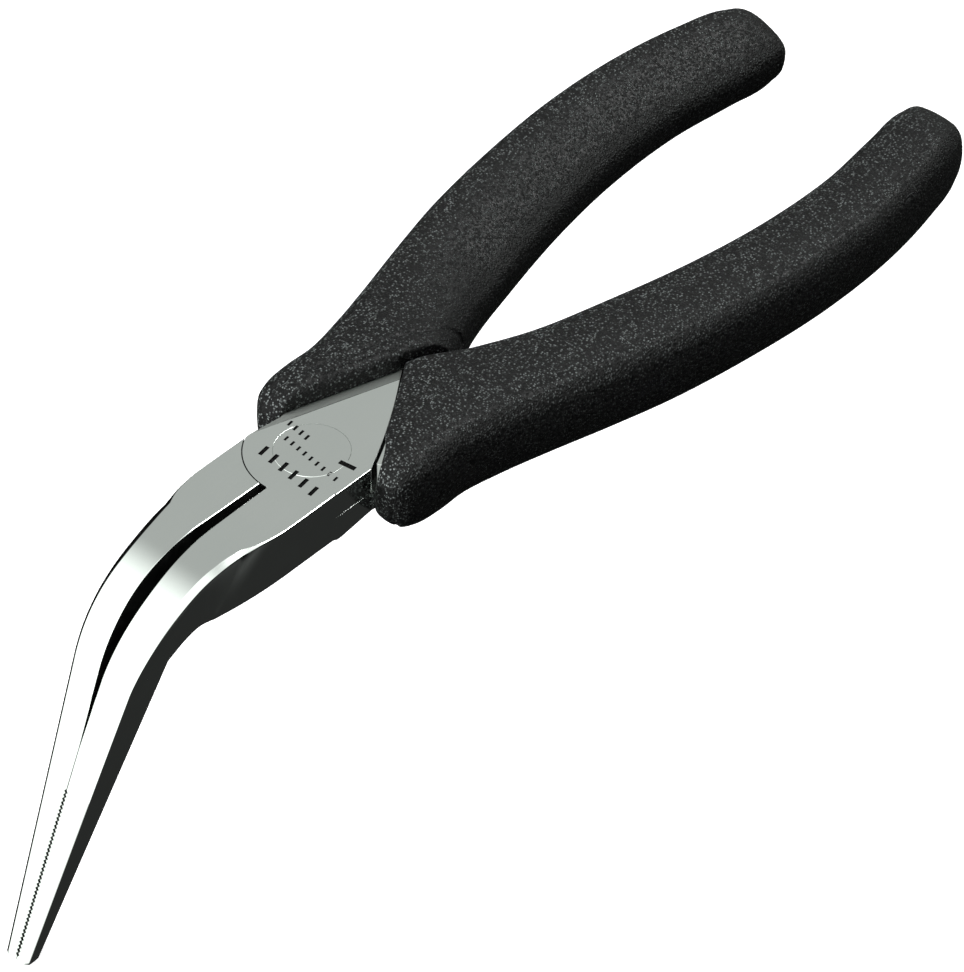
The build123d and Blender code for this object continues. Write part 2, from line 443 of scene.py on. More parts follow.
@dataclass(frozen=True)
class JawSection:
    """How the outline of a jaw's cross-section is shaped along its length."""

    facet_knots: tuple[float, ...] = (-1.0, 0.65, 0.82, 1.12, 1.35, 1.6, 2.0, 3.0)
    facet_widths: tuple[float, ...] = (0.25, 0.28, 0.45, 1.20, 1.25, 1.00, 0.85, 0.75)
    facet_slope: float = 0.62
    inner_chamfer: float = 0.12
    back_chamfer: float = 0.5
    bulge_knots: tuple[float, ...] = (-1.0, 0.4, 1.0, 2.0, 3.0)
    bulges: tuple[float, ...] = (0.0, 0.02, 0.16, 0.16, 0.06)
    side_steps: int = 8

    def outline(self, at: float, width: float, slit: float, depth: float) -> list[Point2]:
        """Give the cross-section's corners.

        Args:
            at: Position along the jaw.
            width: Half width of the closed jaws.
            slit: Distance of the meeting face from the middle.
            depth: Thickness from the front face to the back face.

        Returns:
            Pairs of distance from the middle and depth below the front face.
        """
        place = np.array([at])
        facet = float(smooth_curve(self.facet_knots, self.facet_widths, place)[0])
        bulge = float(smooth_curve(self.bulge_knots, self.bulges, place)[0])
        edge = self.inner_chamfer
        top, bottom = facet * self.facet_slope, depth - self.back_chamfer
        points = [(slit + edge, 0.0), (width - facet, 0.0)]
        for step in range(self.side_steps + 1):
            share = step / self.side_steps
            points.append((width - bulge * (2 * share - 1) ** 2, top + (bottom - top) * share))
        points += [(width - bulge - self.back_chamfer, depth), (slit + edge, depth), (slit, depth - edge),
                   (slit, edge)]
        return points


@dataclass(frozen=True)
class Bar:
    """One plain bar of the face marks: centre, length, width and heading in degrees."""

    centre: Point2
    length: float
    width: float
    heading: float
    margin: float = 0.05

    def axes(self) -> tuple[Vector, Vector]:
        """Give the unit directions along and across the bar."""
        turn = math.radians(self.heading)
        return Vector((math.cos(turn), math.sin(turn))), Vector((-math.sin(turn), math.cos(turn)))

    def outline(self) -> list[Point2]:
        """Give the bar's corners in plan.

        Returns:
            The four corners, in order.
        """
        along, across = self.axes()
        along, across = along * self.length / 2, across * self.width / 2
        middle = Vector(self.centre)
        return [tuple(middle - along - across), tuple(middle + along - across),
                tuple(middle + along + across), tuple(middle - along + across)]

    def reaches(self, x: float, y: float) -> bool:
        """Tell whether a plan point lies on the bar.

        Args:
            x: Place along X.
            y: Place along Y.

        Returns:
            Whether the bar reaches it.
        """
        along, across = self.axes()
        offset = Vector((x, y)) - Vector(self.centre)
        return (abs(offset.dot(along)) < self.length / 2 + self.margin
                and abs(offset.dot(across)) < self.width / 2 + self.margin)


@dataclass(frozen=True)
class BarRow:
    """A row of equal bars: the first one's centre, the step to the next, and their sizes."""

    first: Point2
    step: Point2
    count: int
    length: float
    width: float

    def bars(self, heading: float) -> list[Bar]:
        """Lay the row out.

        Args:
            heading: Heading of every bar in degrees.

        Returns:
            The bars, in order.
        """
        (x, y), (step_x, step_y) = self.first, self.step
        return [Bar((x + step_x * i, y + step_y * i), self.length, self.width, heading)
                for i in range(self.count)]


@dataclass
class FaceMarks:
    """Shallow dark-filled marks on the head's face: plain bars in place of lettering."""

    head_thickness: float
    depth: float = 0.12
    proud: float = 0.3
    heading: float = 8.0
    rows: tuple[BarRow, ...] = (
        BarRow((6.6, 6.6), (-0.3, -2.4), 6, 2.2, 0.7),
        BarRow((2.3, 7.2), (-0.2, -1.5), 9, 1.05, 0.42),
        BarRow((-1.6, -2.6), (-0.2, -1.4), 4, 1.2, 0.45),
        BarRow((-1.2, 6.4), (0.0, 0.0), 1, 0.9, 3.0),
    )

    def layout(self) -> list[Bar]:
        """List the marks: wide bars, dashes, short strokes and one block."""
        return [bar for row in self.rows for bar in row.bars(self.heading)]

    def cutters(self) -> list[Solid]:
        """Make every mark's cutter."""
        low, high = self.head_thickness - self.depth, self.head_thickness + self.proud
        return [Solid.prism("mark", bar.outline(), low, high) for bar in self.layout()]


@dataclass
class Lever:
    """One forged lever: jaw, half-thickness plate, root and tang."""

    side: Side
    head_thickness: float
    rivet_radius: float
    head_half_width: float = 9.7
    shoulder_radius: float = 10.9
    shoulder_gap: float = 0.15
    lap_gap: float = 0.06
    rivet_gap: float = 0.015
    rivet_shank_radius: float = 4.0
    rivet_head_depth: float = 2.2
    plate_corner_x: float = -2.9
    plate_arc_middle: Point2 = (-11.9, 4.9)
    plate_tail: Point2 = (-24.2, -3.5)
    handle_gap: float = 0.45
    root_front: Point2 = (-5.0, -10.6)
    root_outer: Point2 = (-16.0, -12.6)
    root_back: Point2 = (-24.5, -13.6)
    tang_route: tuple[Point2, ...] = ((-19.0, -8.2), (-45.0, -15.2), (-75.0, -21.6), (-118.0, -20.6))
    tang_half_widths: Point2 = (4.6, 3.0)
    tang_thickness: float = 5.0
    slope_start: Point2 = (-6.8, -6.1)
    slope_stop: Point2 = (-19.3, -1.9)
    slope_angle: float = 24.0
    edge_radius: float = 0.10
    ring_share: float = 0.4
    tooth_reach: float = 0.75
    tooth_top: float = -8.0
    mark_reach: float = 9.0
    weld: float = 0.2
    skin: float = 0.01
    slope_margin: float = 0.02
    # the slit and gap sizes pick the faces that get dark steel painted as shade
    slit_start: float = 9.0
    slit_reach: float = 1.7
    slit_facing: float = 0.8
    gap_facing: float = 0.3
    foot_setback: float = 2.0
    front_steps: int = 60
    tang_steps: int = 24
    overshoot: float = 1.0
    wedge_reach: float = 40.0
    bevel_angle: float = 22.0
    sharp_angle: float = 34.0
    ring_margin: float = 0.1
    section: JawSection = field(default_factory=JawSection)

    @property
    def middle(self) -> float:
        """Give the height of the lap between the two plates."""
        return self.head_thickness / 2

    @property
    def lap(self) -> float:
        """Give the height of the front plate's hidden face."""
        return self.middle + self.lap_gap / 2

    @property
    def marks(self) -> FaceMarks:
        """Give the marks on the front lever's face."""
        return FaceMarks(self.head_thickness)

    @property
    def mark_floor(self) -> float:
        """Give the height just below the floor of the face marks."""
        return self.head_thickness - self.marks.depth - self.skin

    def jaw(self) -> Solid:
        """Skin the +Y jaw from the pivot's plane to the tip.

        Returns:
            The jaw as a closed solid.
        """
        profile = JawProfile(self.head_thickness)
        rings = []
        for at, valley in profile.stations():
            front_x, front_z = profile.front(at)
            back_x, back_z = profile.back(at)
            depth = math.hypot(back_x - front_x, back_z - front_z)
            down_x, down_z = (back_x - front_x) / depth, (back_z - front_z) / depth
            slit = profile.half_slit(at) + valley
            outline = self.section.outline(at, profile.half_width(at), slit, depth)
            rings.append([(front_x + down_x * d, y, front_z + down_z * d) for y, d in outline])
        return Solid.from_rings("jaw", rings)

    def plate_outline(self) -> list[Point2]:
        """Give the plan of the plate: a round front, straight sides and the handle's start.

        Returns:
            The outline's corners, in order.
        """
        radius = self.shoulder_radius - self.shoulder_gap
        half = self.head_half_width
        turn = math.asin(half / radius)
        turns = np.linspace(-turn, turn, self.front_steps)
        front = [(radius * math.cos(a), radius * math.sin(a)) for a in turns]
        edge = arc_points((self.plate_corner_x, half), self.plate_arc_middle, self.plate_tail)
        foot = (self.root_front[0] + self.foot_setback, -half)
        return front + edge + [self.root_back, self.root_outer, self.root_front, foot]

    def root_outline(self) -> list[Point2]:
        """Give the plan of the handle's full-thickness root beside the head."""
        return [self.root_front, self.root_outer, self.root_back, self.plate_tail, (0.0, 0.0)]

    def tang(self, extra: float = 0.0) -> Solid:
        """Make the tang that the grip hides.

        Args:
            extra: How much wider and thicker to make it all round.

        Returns:
            The tang as a closed solid.
        """
        xs = [p[0] for p in reversed(self.tang_route)]
        ys = [p[1] for p in reversed(self.tang_route)]
        at = np.linspace(xs[-1], xs[0], self.tang_steps + 1)
        line = smooth_curve(xs, ys, at)
        heading = np.gradient(line, at)
        share = np.linspace(0, 1, len(at))
        first, last = self.tang_half_widths
        half = first + (last - first) * share + extra
        stretch = np.sqrt(1 + heading**2)
        left = [(float(x), float(y + h * s)) for x, y, h, s in zip(at, line, half, stretch)]
        right = [(float(x), float(y - h * s)) for x, y, h, s in zip(at, line, half, stretch)]
        half_height = self.tang_thickness / 2 + extra
        return Solid.prism("tang", left + right[::-1], self.middle - half_height, self.middle + half_height)

    def slope_cutter(self) -> Solid:
        """Make the wedge above the slope where the flat face runs down to the tang.

        Returns:
            The wedge, to be cut away.
        """
        start = Vector((*self.slope_start, self.head_thickness))
        along = (Vector((*self.slope_stop, self.head_thickness)) - start).normalized()
        outward = Vector((-along.y, along.x, 0))
        tilt = math.radians(self.slope_angle)
        floor_z = self.middle + self.tang_thickness / 2
        drop = self.head_thickness - floor_z
        run = drop / math.tan(tilt)
        reach, cover = self.wedge_reach, self.overshoot
        profile = [(0.0, 0.0), (run, -drop), (reach, -drop), (reach, cover),
                   (-cover / math.tan(tilt), cover)]
        rings = []
        for shift in (-reach, reach):
            base = start + along * shift
            rings.append([tuple(base + outward * out + Vector((0, 0, up))) for out, up in profile])
        return Solid.from_rings("slope", rings)

    def body(self) -> Solid:
        """Make the front lever's plate, root and tang, without its jaw.

        Returns:
            The lever's body as one closed solid.
        """
        plate = Solid.prism("plate", self.plate_outline(), self.lap, self.head_thickness)
        root = Solid.prism("root", self.root_outline(), 0.0, self.lap + self.weld)
        other = grown(flipped(self.plate_outline()), self.handle_gap)
        root.cut(Solid.prism("plate_room", other, -self.overshoot, self.lap))
        plate.join(root).join(self.tang())
        return plate.cut(self.slope_cutter())

    def build(self) -> Solid:
        """Make the whole lever on its own side, with its rivet hole.

        Returns:
            The lever as one closed solid.
        """
        under, over = -self.overshoot, self.head_thickness + self.overshoot
        body = self.body()
        room = (under, self.lap)
        if self.side is Side.BACK:
            body.transform(turned_over(self.head_thickness))
            room = (self.head_thickness - self.lap, over)
        jaw = self.jaw().cut(Solid.cylinder("turning_room", self.shoulder_radius, *room))
        if self.side is Side.BACK:
            jaw.transform(Matrix.Scale(-1, 4, (0, 1, 0)))
        body.join(jaw)
        gap = self.rivet_gap
        body.cut(Solid.cylinder("shank_hole", self.rivet_shank_radius + gap, under, over))
        head = (under, self.rivet_head_depth)
        if self.side is Side.FRONT:
            head = (self.head_thickness - self.rivet_head_depth, over)
        body.cut(Solid.cylinder("head_hole", self.rivet_radius + gap, *head))
        if self.side is Side.FRONT:
            for mark in self.marks.cutters():
                body.cut(mark)
        self._soften(body)
        return body

    def zones(self, mesh: bpy.types.Mesh) -> None:
        """Give each face the material index of its zone."""
        for polygon in mesh.polygons:
            polygon.material_index = self.zone(Vector(polygon.center) / MM, polygon.normal)

    def zone(self, centre: Vector, normal: Vector) -> Zone:
        """Tell which zone a face belongs to.

        Args:
            centre: The face's middle, in millimetres.
            normal: The way the face looks.

        Returns:
            The face's zone.
        """
        x, y, z = centre
        on_handle = x < self.plate_corner_x
        # the slit's walls between the jaws get dark steel painted as shade
        if x > self.slit_start and abs(y) < self.slit_reach and abs(normal.y) > self.slit_facing:
            return Zone.GROUND
        if self.mark_floor < z < self.head_thickness - self.skin and self.touches_mark(centre):
            return Zone.MARK
        # the handle's wall along the other lever's plate gets dark steel painted as shade
        if on_handle and self.faces_gap(normal.y, z):
            return Zone.GROUND
        if on_handle and abs(abs(normal.z) - self.slope_cosine) < self.slope_margin:
            return Zone.SLOPE
        return Zone.STEEL

    @property
    def slope_cosine(self) -> float:
        """Give how upright the slope's normal is."""
        return math.cos(math.radians(self.slope_angle))

    def faces_gap(self, normal_y: float, height: float) -> bool:
        """Tell whether a face is the handle's wall along the other lever's plate, which gets painted shade.

        Args:
            normal_y: The face's heading along Y.
            height: The face's height in millimetres.

        Returns:
            Whether the face lies in the working gap.
        """
        if self.side is Side.FRONT:
            return height < self.middle - self.weld and normal_y > self.gap_facing
        return height > self.middle + self.weld and normal_y < -self.gap_facing

    def touches_mark(self, place: Vector) -> bool:
        """Tell whether a place lies on a mark's outline.

        Args:
            place: The place to test, in millimetres.

        Returns:
            Whether a mark is there.
        """
        if self.side is Side.BACK:
            return False
        return any(mark.reaches(place.x, place.y) for mark in self.marks.layout())

    def _soften(self, lever: Solid) -> None:
        """Round the long edges a little, leaving the teeth crisp.

        Args:
            lever: The lever to change.
        """
        mesh = lever.object.data
        bm = bmesh.new()
        bm.from_mesh(mesh)
        bmesh.ops.remove_doubles(bm, verts=bm.verts, dist=2e-6)
        bmesh.ops.dissolve_degenerate(bm, edges=bm.edges, dist=1e-6)
        weight = bm.edges.layers.float.new("bevel_weight_edge")
        for edge in bm.edges:
            if len(edge.link_faces) != 2 or edge.calc_face_angle(0) < math.radians(self.bevel_angle):
                continue
            middle = (edge.verts[0].co + edge.verts[1].co) / 2 / MM
            in_teeth = abs(middle.y) < self.tooth_reach and middle.z < self.tooth_top
            in_mark = (abs(middle.x) < self.mark_reach
                       and self.mark_floor < middle.z < self.head_thickness + self.skin
                       and self.touches_mark(middle))
            if in_teeth or in_mark:
                continue
            off_axis = math.hypot(middle.x, middle.y)
            on_ring = abs(off_axis - self.rivet_radius) < self.ring_margin
            edge[weight] = self.ring_share if on_ring else 1.0
        bm.to_mesh(mesh)
        bm.free()
        bevel = lever.object.modifiers.new("edges", "BEVEL")
        bevel.limit_method = "WEIGHT"
        bevel.width = self.edge_radius * MM
        bevel.segments = 2
        bevel.use_clamp_overlap = False
        lever.apply()
        for polygon in lever.object.data.polygons:
            polygon.use_smooth = True
        lever.object.data.set_sharp_from_angle(angle=math.radians(self.sharp_angle))
        normals = lever.object.modifiers.new("normals", "WEIGHTED_NORMAL")
        normals.keep_sharp = True
        normals.weight = 90


@dataclass
class Rivet:
    """The flush pivot rivet: a shank with a large softly rimmed head at each end."""

    head_thickness: float
    head_radius: float
    shank_radius: float = 4.0
    head_depth: float = 2.2
    rim: float = 0.07
    skin: float = 0.01
    centre_share: float = 0.5
    sharp_angle: float = 30.0

    def profile(self) -> list[Point2]:
        """List the radius and height of each ring, from the back face to the front.

        Returns:
            Pairs of radius and height.
        """
        rim, radius = self.rim, self.head_radius
        back = [(radius * self.centre_share, 0.0), (radius - rim, 0.0), (radius, rim),
                (radius, self.head_depth - rim), (radius - rim, self.head_depth),
                (self.shank_radius, self.head_depth)]
        return back + [(r, self.head_thickness - z) for r, z in reversed(back)]

    def build(self) -> Solid:
        """Make the rivet.

        Returns:
            The rivet as one closed solid.
        """
        turns = [2 * math.pi * i / ROUND_STEPS for i in range(ROUND_STEPS)]
        rings = [[(r * math.cos(t), r * math.sin(t), z) for t in turns] for r, z in self.profile()]
        rivet = Solid.from_rings("rivet", rings)
        marks = FaceMarks(self.head_thickness)
        for mark in marks.cutters():
            rivet.cut(mark)
        for polygon in rivet.object.data.polygons:
            below_face = self.head_thickness - polygon.center.z / MM
            if self.skin < below_face < marks.depth + self.skin:
                off_axis = math.hypot(polygon.center.x, polygon.center.y) / MM
                polygon.material_index = int(off_axis < self.head_radius - self.rim)
            polygon.use_smooth = True
        rivet.object.data.set_sharp_from_angle(angle=math.radians(self.sharp_angle))
        return rivet


@dataclass
class Grip:
    """One moulded grip: a rounded handle with a raised lip beside the head."""

    side: Side
    head_thickness: float
    stations: tuple[tuple[float, float, float, float], ...] = (
        (-2.4, -14.0, -11.6, 5.6),
        (-3.5, -15.4, -9.6, 9.6),
        (-6.0, -16.6, -6.0, 13.0),
        (-10.0, -17.4, -3.0, 14.6),
        (-17.0, -17.4, 1.0, 15.0),
        (-24.0, -18.7, 4.0, 15.0),
        (-33.0, -21.0, -0.6, 15.0),
        (-43.0, -23.8, -5.2, 15.2),
        (-56.0, -27.1, -8.9, 15.2),
        (-72.0, -29.7, -12.6, 15.0),
        (-88.0, -31.1, -14.9, 14.8),
        (-104.0, -30.7, -15.3, 14.4),
        (-117.0, -28.7, -13.8, 13.8),
        (-125.5, -26.4, -13.0, 12.6),
        (-129.4, -24.0, -14.0, 8.8),
        (-130.8, -21.4, -16.7, 4.0),
    )
    corner_share: float = 0.74
    ring_steps: int = 96
    length_steps: int = 200
    end_margin: float = 0.08
    lip_start: Point2 = (-4.8, -9.9)
    lip_stop: Point2 = (-20.4, -4.7)
    lip_reach: float = 6.0
    lip_top: float = 11.9
    lip_radius: float = 1.7
    lip_ahead: float = 1.0
    lip_overrun: float = 15.0
    bead_width: float = 3.1
    groove_width: float = 1.0
    groove_depth: float = 0.28
    voxel: float = 0.2
    smoothing: int = 3
    head_half_width: float = 9.7
    turning_radius: float = 11.4
    gap: float = 0.5
    pocket_gap: float = 0.12
    plate_corner_x: float = -2.9
    plate_arc_middle: Point2 = (-11.9, 4.9)
    plate_tail: Point2 = (-24.2, -3.5)
    crotch_x: float = -33.5
    step_share: float = 0.62
    step_height: float = 0.28
    taper: float = 0.62
    taper_start: float = -26.0
    taper_length: float = 24.0
    taper_power: float = 1.25
    ridge_place: float = 0.55
    corner_push: float = 2.2
    step_softness: float = 0.025
    step_ends: Point2 = (-124.0, -22.0)
    step_fades: Point2 = (10.0, 14.0)
    even_share: float = 0.75
    round_steps: int = 8
    smoothing_factor: float = 0.5
    far: float = 60.0

    @property
    def middle(self) -> float:
        """Give the height of the grip's middle."""
        return self.head_thickness / 2

    def section(self, x: float, outer: float, inner: float, thickness: float,
                step: float, taper: float) -> list[Point3]:
        """Give one rounded cross-section.

        Args:
            x: Place of the section.
            outer: Y of the outer side.
            inner: Y of the side towards the other grip.
            thickness: Height of the section.
            step: Height of the moulded step along the section's outer shoulder.
            taper: Share of the height lost towards the inner side, on the upper half.

        Returns:
            The section's points.
        """
        half_y, half_z = (inner - outer) / 2, thickness / 2
        radius = min(half_y, half_z) * self.corner_share
        flat_y, flat_z = half_y - radius, half_z - radius
        points = []
        for i in range(self.ring_steps):
            turn = 2 * math.pi * (i + 0.5) / self.ring_steps
            out_y, out_z = math.cos(turn), math.sin(turn)
            corner_y = math.copysign(flat_y, out_y) * min(1.0, abs(out_y) * self.corner_push)
            corner_z = math.copysign(flat_z, out_z) * min(1.0, abs(out_z) * self.corner_push)
            y, z = corner_y + radius * out_y, corner_z + radius * out_z
            if z > 0:
                slope = max(y / half_y + self.ridge_place, 0) / (1 + self.ridge_place)
                z *= 1 - taper * slope**self.taper_power
            inward = step * self.step_profile(y / half_y)
            points.append((x, (inner + outer) / 2 + y, self.middle + z - math.copysign(inward, z)))
        return points

    def step_profile(self, across: float) -> float:
        """Give how far the surface sits below the step, across the section."""
        place = (across + self.step_share) / self.step_softness
        return (1 + math.tanh(place / 2)) / 2

    def shell(self, inset: float = 0.0) -> Solid:
        """Skin the grip's outside.

        Args:
            inset: How far to draw the skin in all round.

        Returns:
            The skin as one closed solid.
        """
        table = np.array(self.stations)[::-1]
        knots = table[:, 0]
        ease = (1 - np.cos(np.linspace(0, math.pi, self.length_steps))) / 2
        low, high = knots[0] + self.end_margin, knots[-1] - self.end_margin
        even = np.linspace(0, 1, self.length_steps)
        at = low + (high - low) * ((1 - self.even_share) * ease + self.even_share * even)
        columns = [smooth_curve(knots, table[:, i], at) for i in (1, 2, 3)]
        rings = []
        for x, outer, inner, thickness in zip(at, *columns):
            from_end = min(max((x - self.step_ends[0]) / self.step_fades[0], 0), 1)
            from_head = min(max((self.step_ends[1] - x) / self.step_fades[1], 0), 1)
            share = from_end * from_head
            step = self.step_height * share * share * (3 - 2 * share)
            taper = self.taper * min(max((self.taper_start - x) / self.taper_length, 0), 1)
            rings.append(self.section(float(x), float(outer) + inset, float(inner) - inset,
                                      float(thickness) - 2 * inset, step, taper))
        return Solid.from_rings("grip", rings)

    def far_side(self, corner_y: float) -> list[Point2]:
        """Give the plan of the other lever's side of the parting line.

        Args:
            corner_y: Y of the plate's corner, positive in the front half.

        Returns:
            The outline, drawn in by the working gap.
        """
        flip = math.copysign(1.0, corner_y)
        edge = arc_points(
            (self.plate_corner_x, corner_y),
            (self.plate_arc_middle[0], self.plate_arc_middle[1] * flip),
            (self.plate_tail[0], self.plate_tail[1] * flip),
        )
        moved = []
        for before, here, after in zip(edge[:1] + edge[:-1], edge, edge[1:] + edge[-1:]):
            along = (Vector(after) - Vector(before)).normalized()
            outward = Vector((along.y, -along.x))
            if outward.y > 0:
                outward.negate()
            moved.append(tuple(Vector(here) + outward * self.gap))
        behind = (self.crotch_x, -self.gap)
        return moved + [behind, (self.crotch_x - self.gap, self.far), (self.far, self.far),
                        (self.far, moved[0][1]), (moved[0][0] + 1, moved[0][1])]

    def lip_line(self) -> tuple[Vector, Vector, Vector]:
        """Give the line that the lip follows across the handle.

        Returns:
            Its start, its unit direction and the unit direction back along the grip.
        """
        start = Vector(self.lip_start)
        along = (Vector(self.lip_stop) - start).normalized()
        back = Vector((along.y, -along.x))
        if back.y > 0:
            back.negate()
        return start, along, back

    def lip_cutter(self) -> Solid:
        """Make the block that clears the face in front of the lip.

        Returns:
            The block, to be cut away.
        """
        start, along, _ = self.lip_line()
        tail = Vector(self.lip_stop) + along * self.lip_reach
        points = [tuple(start), tuple(tail), (tail.x, self.head_half_width),
                  (self.head_half_width, self.head_half_width), (self.head_half_width, start.y)]
        return Solid.prism("lip_room", points, self.middle, self.far)

    def lip_round(self) -> Solid:
        """Make the long cutter that rounds the lip's top edge.

        Returns:
            The cutter, to be cut away.
        """
        start, along, back = self.lip_line()
        length = (Vector(self.lip_stop) - start).length
        top, radius, ahead = self.lip_top, self.lip_radius, -self.lip_ahead
        profile = [(ahead, top - radius)]
        for i in range(self.round_steps + 1):
            turn = math.pi / 2 * i / self.round_steps
            profile.append((radius * (1 - math.cos(turn)), top - radius * (1 - math.sin(turn))))
        profile += [(radius, top + radius), (ahead, top + radius)]
        rings = []
        for shift in (-self.lip_overrun, self.lip_overrun + length):
            base = start + along * shift
            rings.append([(*(base + back * out), up) for out, up in profile])
        return Solid.from_rings("lip_round", rings)

    def groove(self) -> Solid:
        """Make the thin wrap-round cutter that sets the lip's bead off from the handle.

        Returns:
            The cutter, to be cut away.
        """
        start, along, back = self.lip_line()
        near = start + back * self.bead_width
        corners = [near - along * self.far, near + along * self.far]
        far = [c + back * self.groove_width for c in reversed(corners)]
        ring = Solid.prism("groove", [tuple(c) for c in corners + far], self.middle, self.far)
        return ring.cut(self.shell(self.groove_depth))

    def pocket(self, lever: Lever) -> list[Solid]:
        """Make the room the lever's handle takes inside the grip.

        Args:
            lever: The lever the grip is moulded on.

        Returns:
            The solids to cut.
        """
        gap = self.pocket_gap
        plate = Solid.prism("plate_room", grown(lever.plate_outline(), gap), self.middle - gap,
                            self.head_thickness + gap)
        plate.cut(lever.slope_cutter().transform(Matrix.Translation((0, 0, gap))))
        root = Solid.prism("root_room", grown(lever.root_outline(), gap), -gap, self.middle)
        return [plate, root, lever.tang(gap)]

    def build(self, lever: Lever) -> Solid:
        """Make the grip on its own side.

        Args:
            lever: The lever the grip is moulded on.

        Returns:
            The grip as one closed solid.
        """
        grip = self.shell()
        half = self.head_half_width
        grip.cut(Solid.prism("far_front", self.far_side(half), self.middle, self.far))
        grip.cut(Solid.prism("far_back", self.far_side(-half), -self.far, self.middle))
        grip.cut(Solid.cylinder("turning_room", self.turning_radius, -self.far, self.middle))
        grip.cut(self.lip_cutter())
        grip.cut(self.lip_round())
        grip.cut(self.groove())
        for room in self.pocket(lever):
            grip.cut(room)
        remesh = grip.object.modifiers.new("remesh", "REMESH")
        remesh.mode = "VOXEL"
        remesh.voxel_size = self.voxel * MM
        smooth = grip.object.modifiers.new("soften", "SMOOTH")
        smooth.iterations = self.smoothing
        smooth.factor = self.smoothing_factor
        grip.apply()
        for polygon in grip.object.data.polygons:
            polygon.use_smooth = True
        if self.side is Side.BACK:
            grip.transform(turned_over(self.head_thickness))
        return grip


class NodeKit:
    """A small helper for laying out shader nodes."""

    def __init__(self, tree: bpy.types.NodeTree) -> None:
        """Hold the tree that is being built."""
        self.tree = tree

    def add(self, kind: str, **settings: object) -> bpy.types.Node:
        """Add a node.

        Args:
            kind: The node's type.
            **settings: Properties of the node, or values of its inputs by name.

        Returns:
            The node.
        """
        node = self.tree.nodes.new(kind)
        for key, value in settings.items():
            if hasattr(node, key):
                setattr(node, key, value)
            else:
                node.inputs[key.replace("_", " ")].default_value = value
        return node

    def link(self, source: bpy.types.NodeSocket, target: bpy.types.NodeSocket) -> None:
        """Join two sockets."""
        self.tree.links.new(source, target)

    def ramp(self, source: bpy.types.NodeSocket, reads: Point2, gives: Point2 = (0.0, 1.0),
             soft: bool = True) -> bpy.types.Node:
        """Add a node that maps one range of a value to another, held at both ends.

        Args:
            source: The value to map.
            reads: The start and end of the range it is read over.
            gives: What it gives there.
            soft: Whether the change eases in and out.

        Returns:
            The node.
        """
        node = self.add("ShaderNodeMapRange")
        node.interpolation_type = "SMOOTHSTEP" if soft else "LINEAR"
        self.link(source, node.inputs["Value"])
        for name, value in zip(("From Min", "From Max", "To Min", "To Max"), (*reads, *gives)):
            node.inputs[name].default_value = value
        return node


SURFACE_OUTPUTS = (
    ("Color", "NodeSocketColor"),
    ("Roughness", "NodeSocketFloat"),
    ("Height", "NodeSocketFloat"),
)


class EffectGroup:
    """A shared effect, kept as a shader node group with named sockets."""

    name = "effect"
    inputs: tuple[tuple[str, str, object], ...] = ()
    outputs: tuple[tuple[str, str], ...] = ()

    def build(self) -> bpy.types.NodeTree:
        """Make the group once.

        Returns:
            The node group.
        """
        found = bpy.data.node_groups.get(self.name)
        if found:
            return found
        tree = bpy.data.node_groups.new(self.name, "ShaderNodeTree")
        for name, kind, value in self.inputs:
            socket = tree.interface.new_socket(name, in_out="INPUT", socket_type=kind)
            socket.default_value = value
        for name, kind in self.outputs:
            tree.interface.new_socket(name, in_out="OUTPUT", socket_type=kind)
        kit = NodeKit(tree)
        self.wire(kit, kit.add("NodeGroupInput").outputs, kit.add("NodeGroupOutput").inputs)
        return tree

    def wire(self, kit: NodeKit, given: bpy.types.NodeOutputs, made: bpy.types.NodeInputs) -> None:
        """Lay out the nodes."""
        raise NotImplementedError


class PolishEffect(EffectGroup):
    """Plated steel: faint clouding, hairline polishing marks and a soft waviness."""

    name = "PlatedPolish"
    inputs = (
        ("Base Tint", "NodeSocketColor", (0.86, 0.88, 0.86, 1.0)),
        ("Cloud Tint", "NodeSocketColor", (0.80, 0.83, 0.81, 1.0)),
        ("Low Roughness", "NodeSocketFloat", 0.06),
        ("High Roughness", "NodeSocketFloat", 0.16),
    )
    outputs = SURFACE_OUTPUTS
    cloud_scale = 90.0
    hair_scales = (250.0, 6000.0, 250.0)
    hair_reads = (0.35, 0.75)
    wave_scale = 220.0

    def wire(self, kit: NodeKit, given: bpy.types.NodeOutputs, made: bpy.types.NodeInputs) -> None:
        """Lay out the nodes.

        Args:
            kit: Helper on the group's tree.
            given: The group's inputs.
            made: The group's outputs.
        """
        place = kit.add("ShaderNodeTexCoord").outputs["Object"]
        cloud = kit.add("ShaderNodeTexNoise", Scale=self.cloud_scale, Detail=3.0)
        kit.link(place, cloud.inputs["Vector"])
        mix = kit.add("ShaderNodeMix", data_type="RGBA")
        kit.link(cloud.outputs["Fac"], mix.inputs["Factor"])
        kit.link(given["Base Tint"], mix.inputs["A"])
        kit.link(given["Cloud Tint"], mix.inputs["B"])
        kit.link(mix.outputs["Result"], made["Color"])
        stretch = kit.add("ShaderNodeMapping")
        stretch.inputs["Scale"].default_value = self.hair_scales
        kit.link(place, stretch.inputs["Vector"])
        hair = kit.add("ShaderNodeTexNoise", Scale=1.0, Detail=2.0)
        kit.link(stretch.outputs["Vector"], hair.inputs["Vector"])
        spread = kit.ramp(hair.outputs["Fac"], self.hair_reads, soft=False)
        kit.link(given["Low Roughness"], spread.inputs["To Min"])
        kit.link(given["High Roughness"], spread.inputs["To Max"])
        kit.link(spread.outputs["Result"], made["Roughness"])
        wave = kit.add("ShaderNodeTexNoise", Scale=self.wave_scale, Detail=1.0)
        kit.link(place, wave.inputs["Vector"])
        kit.link(wave.outputs["Fac"], made["Height"])


